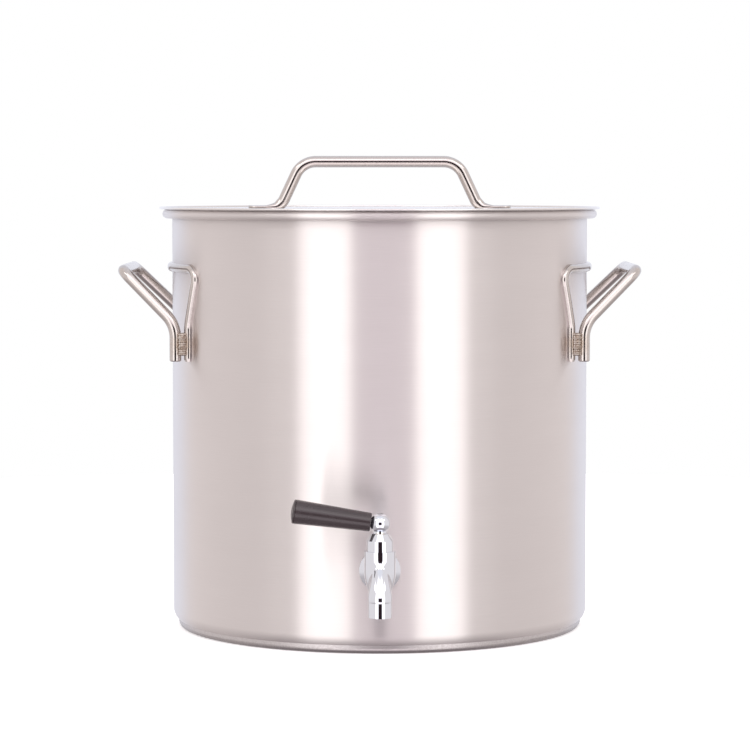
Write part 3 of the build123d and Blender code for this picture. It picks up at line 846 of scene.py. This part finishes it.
def make_lid_handle():
    """Round bar whose ends are forged flat and spot-welded on the lid."""
    foot_z = LID_TOP + FOOT_HALF_HEIGHT
    corners = [(0, HANDLE_TOP_Z), HANDLE_BEND, HANDLE_KNEE,
               (HANDLE_KNEE[0] + FOOT_RUN_IN, foot_z), (FOOT_REACH, foot_z)]
    path = rounded_path([(x, 0, z) for x, z in corners], HANDLE_BENDS, step=0.8 * MM)
    path = evened(path, 1.5 * MM)
    right = loft([handle_ring(point, direction_at(path, i)) for i, point in enumerate(path)])
    work = bmesh.new()
    work.from_mesh(right)
    inner_cap = [f for f in work.faces if all(v.co.x < 1e-6 for v in f.verts)]
    bmesh.ops.delete(work, geom=inner_cap, context="FACES_ONLY")
    work.to_mesh(right)
    bmesh.ops.scale(work, vec=(-1, 1, 1), verts=work.verts)
    bmesh.ops.reverse_faces(work, faces=work.faces)
    work.from_mesh(right)
    bmesh.ops.remove_doubles(work, verts=work.verts, dist=1e-6)
    whole = bpy.data.meshes.new("lid_handle")
    work.to_mesh(whole)
    work.free()
    add_piece("lid_bar", whole, "lid_handle", sharp=50)


def grip_path():
    """Middle line of a side grip: up one leg, over the outer bar and down the other."""
    leg_x, leg_y = GRIP_LEG
    one = [(leg_x, leg_y, LEG_BOTTOM_Z), (leg_x, leg_y, GRIP_KNEE_Z), GRIP_CORNER]
    points = [(x, -y, z) for x, y, z in one] + one[::-1]
    return rounded_path(points, GRIP_BENDS)


def mount_mesh():
    """Rounded bar bent to follow the wall, from leg to leg over the top."""
    one = [(MOUNT_LEG_Y, LEG_BOTTOM_Z), (MOUNT_LEG_Y, MOUNT_KNEE_Z), MOUNT_TOP]
    flat = [(-y, z, 0) for y, z in one] + [(y, z, 0) for y, z in one[::-1]]
    path = [Vector((math.sqrt(POT_R ** 2 - p.x ** 2), p.x, p.y))
            for p in evened(rounded_path(flat, MOUNT_BENDS), 2 * MM)]
    back = POT_R - MOUNT_SINK
    rings = []
    for i, point in enumerate(path):
        out = Vector((point.x, point.y, 0)).normalized()
        across = direction_at(path, i).cross(out).normalized()
        size = MOUNT_END if i in (0, len(path) - 1) else 1.0
        ring = ring_round(point, across, out, MOUNT_WIDTH / 2 * size, MOUNT_H * size, 0.8)
        for place in ring:
            reach = math.hypot(place.x, place.y)
            if reach < back:
                place.x *= back / reach
                place.y *= back / reach
        rings.append(ring)
    return loft(rings)


def bead_mesh():
    """Weld beads that join grip and wall bar, one on each leg."""
    low, high = WELD_Z
    x, y = WELD_CENTRE
    overrun = WELD_R - 1.0 * MM
    beads = bpy.data.meshes.new("beads")
    work = bmesh.new()
    for sign in (-1, 1):
        line = [(x, sign * y, low - overrun), (x, sign * y, high + overrun)]
        strip = run_tree(outline_object("line", line, False), "lay_weld",
                         Ripple_Spacing=1.5 * MM, Bead_Radius=WELD_R - 0.4 * MM,
                         Unevenness=0.09, Voxel=0.20 * MM)
        work.from_mesh(strip)
    work.to_mesh(beads)
    work.free()
    return beads


def make_side_handles():
    """Grip, wall bar and weld beads on both sides."""
    parts = (("grip_bar", "grip_bow", bar_mesh("grip", grip_path(), ROD_R)),
             ("wall_bar", "mount_bow", mount_mesh()),
             ("weld_beads", "handle_welds", bead_mesh()))
    for side in ("right", "left"):
        for name, node, mesh in parts:
            own = mesh.copy() if side == "right" else mirrored(mesh)
            add_piece(f"{side}_{name}", own, f"{side}_{node}")


def make_lever_grip():
    """Tapered moulding with a domed end and a fine ring cut near it."""
    end = GRIP_START + GRIP_LENGTH
    ring = end - GRIP_RING_FROM_END
    face_r = GRIP_FAR_R - GRIP_FAR_EDGE
    dome_r = (face_r ** 2 + GRIP_DOME ** 2) / (2 * GRIP_DOME)
    spread = math.degrees(math.asin(face_r / dome_r))
    taper_start = GRIP_START + GRIP_NEAR_EDGE
    taper = ring - GRIP_RING_DEPTH - taper_start
    rows = 12
    outline = [(0, GRIP_START), (GRIP_NEAR_R - GRIP_NEAR_EDGE, GRIP_START)]
    outline += [(GRIP_NEAR_R + (GRIP_RING_R - GRIP_NEAR_R) * i / rows, taper_start + taper * i / rows)
                for i in range(rows + 1)]
    outline += [(GRIP_RING_R - GRIP_RING_DEPTH, ring), (GRIP_RING_R, ring + GRIP_RING_DEPTH)]
    outline += arc_points((face_r, end - GRIP_DOME - GRIP_FAR_EDGE), GRIP_FAR_EDGE, 0, 90)
    outline += list(arc_points((0, end - dome_r), dome_r, 90 - spread, 90))[1:]
    mesh = turned_mesh("grip", outline, 96)
    rise = math.radians(LEVER_RISE)
    along = Vector((-math.cos(rise), 0, math.sin(rise)))
    turn = along.to_track_quat("Z", "Y").to_matrix().to_4x4()
    mesh.transform(Matrix.Translation(BALL_CENTRE) @ turn)
    add_piece("grip_moulding", mesh, "lever_grip", sharp=28)


def finish_packed_nodes():
    """Give every node that still shows its finish."""
    for node, obj in frame["nodes"].items():
        if node in rebuilt:
            continue
        for slot in obj.material_slots:
            slot.material = materials[SLOT_OF[node]]


# Studio ----------------------------------------------------------------------

# The camera stands in front of the tap; angles of the studio are in degrees, with 0 at
# the camera, and a panel is (first edge, last edge).
CAMERA_BACK = 2.577
CAMERA_HEIGHT = 0.3865
CAMERA_LEFT = 0.004
CAMERA_DOWN = 3.747
LENS = 142.0
LEFT_PANEL = (-45.5, -15.5)
RIGHT_PANEL = (20.5, 49.0)
MIDDLE = (-15.5, 20.5)
PANEL_TALL = (-42.0, 62.0)
DARK_GAP = (-15.5, 19.5)
DARK_GAP_TALL = (-13.0, 17.0)
OVERHEAD = (-75.0, 75.0)
OVERHEAD_TALL = (34.0, 44.0)
TABLE_R = 1.35


def make_camera():
    """Long lens from the front, looking slightly down."""
    data = bpy.data.cameras.new("camera")
    data.lens = LENS
    data.sensor_width = 36.0
    data.clip_end = 100.0
    camera = bpy.data.objects.new("camera", data)
    camera.location = (-CAMERA_LEFT, -CAMERA_BACK, CAMERA_HEIGHT)
    camera.rotation_euler = (math.radians(90 - CAMERA_DOWN), 0, 0)
    bpy.context.collection.objects.link(camera)
    bpy.context.scene.camera = camera


def make_studio():
    """Pale room with tall soft panels round the camera, and a small dark gap in the middle."""
    scene = bpy.context.scene
    scene.view_settings.view_transform = "Standard"
    world = bpy.data.worlds.new("studio")
    scene.world = world
    world.use_nodes = True
    world.node_tree.nodes.clear()
    nodes = Nodes(world.node_tree)
    direction = nodes.add("ShaderNodeTexCoord").outputs["Generated"]
    x, y, z = nodes.parts_of(direction)
    around = nodes.math("MULTIPLY", nodes.math("ARCTAN2", x, nodes.math("MULTIPLY", y, -1.0)),
                        180 / math.pi)
    up = nodes.math("MULTIPLY", nodes.math("ARCSINE", z), 180 / math.pi)

    def between(value, edges, soft):
        low, high = edges
        rising = nodes.ramp(value, low - soft, low + soft)
        falling = nodes.ramp(value, high - soft, high + soft, 1.0, 0.0)
        return nodes.math("MULTIPLY", rising, falling)

    wall = (0.97, 0.915, 0.905, 1)
    behind = (0.93, 0.95, 1.04, 1)
    panel = (1.85, 1.79, 1.79, 1)
    middle = (1.60, 1.46, 1.54, 1)
    gap = (0.03, 0.018, 0.022, 1)
    strip = (2.6, 2.55, 2.55, 1)
    under = (0.33, 0.29, 0.31, 1)
    ceiling = (1.00, 0.98, 1.02, 1)
    ground = (0.62, 0.57, 0.57, 1)
    away = nodes.math("ABSOLUTE", around)
    room = nodes.blend(nodes.ramp(away, 125.0, 150.0), wall, behind)
    room = nodes.blend(nodes.ramp(up, 50.0, 70.0), room, ceiling)
    room = nodes.blend(nodes.ramp(up, -8.0, -30.0), room, ground)
    room = nodes.blend(nodes.ramp(up, -38.0, -62.0), room, under)
    tall = between(up, PANEL_TALL, 6.0)
    centre = nodes.math("MULTIPLY", between(around, MIDDLE, 1.6), tall)
    room = nodes.blend(centre, room, middle)
    left = nodes.math("MULTIPLY", between(around, LEFT_PANEL, 1.6), tall)
    right = nodes.math("MULTIPLY", between(around, RIGHT_PANEL, 2.0), tall)
    room = nodes.blend(nodes.math("MAXIMUM", left, right), room, panel)
    above = nodes.math("MULTIPLY", between(around, OVERHEAD, 6.0), between(up, OVERHEAD_TALL, 2.0))
    room = nodes.blend(above, room, strip)
    dark = nodes.math("MULTIPLY", between(around, DARK_GAP, 1.6), between(up, DARK_GAP_TALL, 3.0))
    room = nodes.blend(dark, room, gap)
    seen = nodes.add("ShaderNodeLightPath").outputs["Is Camera Ray"]
    shown = nodes.blend(seen, room, (1.0, 1.0, 1.0, 1))
    light = nodes.add("ShaderNodeBackground")
    nodes.join(shown, light.inputs["Color"])
    nodes.join(light.outputs[0], nodes.add("ShaderNodeOutputWorld").inputs[0])


def make_floor():
    """Round pale table top, just under the base."""
    work = bmesh.new()
    bmesh.ops.create_circle(work, cap_ends=True, segments=128, radius=TABLE_R)
    mesh = bpy.data.meshes.new("table_top")
    work.to_mesh(mesh)
    work.free()
    mesh.transform(Matrix.Translation((0, 0, -0.1 * MM)))
    material, nodes, shader, place = new_material("table_white")
    soft = nodes.noise(place, 3.0, detail=2.0)
    nodes.join(nodes.blend(soft, (0.86, 0.86, 0.86, 1), (0.90, 0.90, 0.90, 1)),
               shader.inputs["Base Color"])
    shader.inputs["Roughness"].default_value = 0.9
    shader.inputs["Emission Color"].default_value = (1, 1, 1, 1)
    shader.inputs["Emission Strength"].default_value = 0.42
    mesh.materials.append(material)
    table = bpy.data.objects.new("table_top", mesh)
    bpy.context.collection.objects.link(table)
    table.visible_glossy = False


make_camera()
make_studio()
make_floor()
make_pot()
make_lid()
make_lid_handle()
make_side_handles()
make_lever_grip()
finish_packed_nodes()
